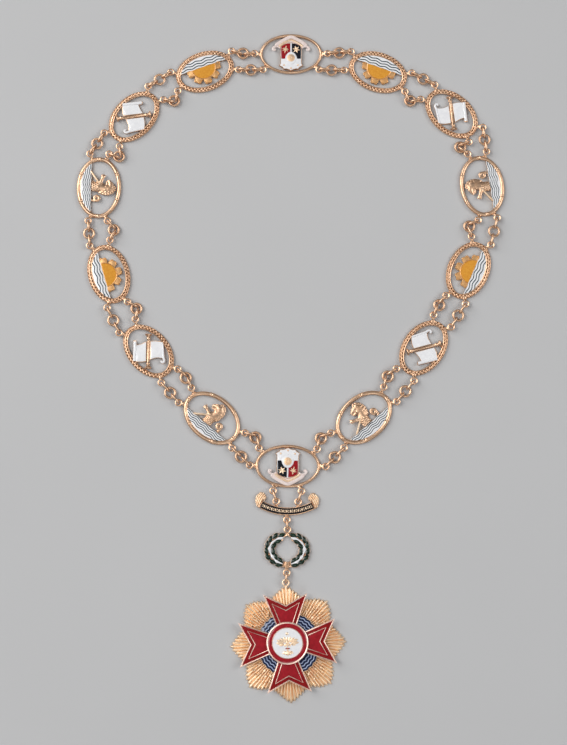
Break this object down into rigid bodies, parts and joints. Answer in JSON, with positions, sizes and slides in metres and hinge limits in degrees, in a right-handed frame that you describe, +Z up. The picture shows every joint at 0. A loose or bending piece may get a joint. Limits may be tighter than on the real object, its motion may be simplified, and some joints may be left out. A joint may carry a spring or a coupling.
{
  "type": "chivalric order collar",
  "caption": "Gilt collar of office: a closed loop of pierced oval enamelled medallions on a double chain, with a hanging banner, a laurel wreath and a rayed star that bears a cross.",
  "frame": {"origin": "middle of the collar's outline, on the surface that it lies on", "axes": "+Y from the star to the top medallion, +X across the loop to the right, +Z up out of the collar's face"},
  "size_m": [0.3046, 0.4734, 0.0078],
  "materials": {
    "gilt": "polished rose gilt, cast and soldered",
    "black_enamel": "glossy opaque enamel on gilt metal",
    "green_enamel": "glossy enamel on gilt metal",
    "blue_enamel": "glossy enamel on gilt metal",
    "red_enamel": "glossy translucent enamel on gilt metal",
    "white_enamel": "glossy opaque enamel on gilt metal"
  },
  "bodies": {
    "root": {"shield_medallion_1": "gilt", "shield_medallion_2": "gilt", "gear_medallion_1": "gilt", "gear_medallion_2": "gilt", "gear_medallion_3": "gilt", "gear_medallion_4": "gilt", "scroll_medallion_1": "gilt", "scroll_medallion_2": "gilt", "scroll_medallion_3": "gilt", "scroll_medallion_4": "gilt", "sea_lion_medallion_1": "gilt", "sea_lion_medallion_2": "gilt", "sea_lion_medallion_3": "gilt", "sea_lion_medallion_4": "gilt", "chain_1_outer": "gilt", "chain_1_inner": "gilt", "chain_2_outer": "gilt", "chain_2_inner": "gilt", "chain_3_outer": "gilt", "chain_3_inner": "gilt", "chain_4_outer": "gilt", "chain_4_inner": "gilt", "chain_5_outer": "gilt", "chain_5_inner": "gilt", "chain_6_outer": "gilt", "chain_6_inner": "gilt", "chain_7_outer": "gilt", "chain_7_inner": "gilt", "chain_8_outer": "gilt", "chain_8_inner": "gilt", "chain_9_outer": "gilt", "chain_9_inner": "gilt", "chain_10_outer": "gilt", "chain_10_inner": "gilt", "chain_11_outer": "gilt", "chain_11_inner": "gilt", "chain_12_outer": "gilt", "chain_12_inner": "gilt", "chain_13_outer": "gilt", "chain_13_inner": "gilt", "chain_14_outer": "gilt", "chain_14_inner": "gilt", "banner_link_left": "gilt", "banner_link_right": "gilt", "banner": "black_enamel", "wreath_link": "gilt", "wreath": "green_enamel", "star_link": "gilt", "star": "gilt", "wave_ring": "blue_enamel", "cross": "red_enamel", "centre_disc": "white_enamel"}
  },
  "joints": []
}
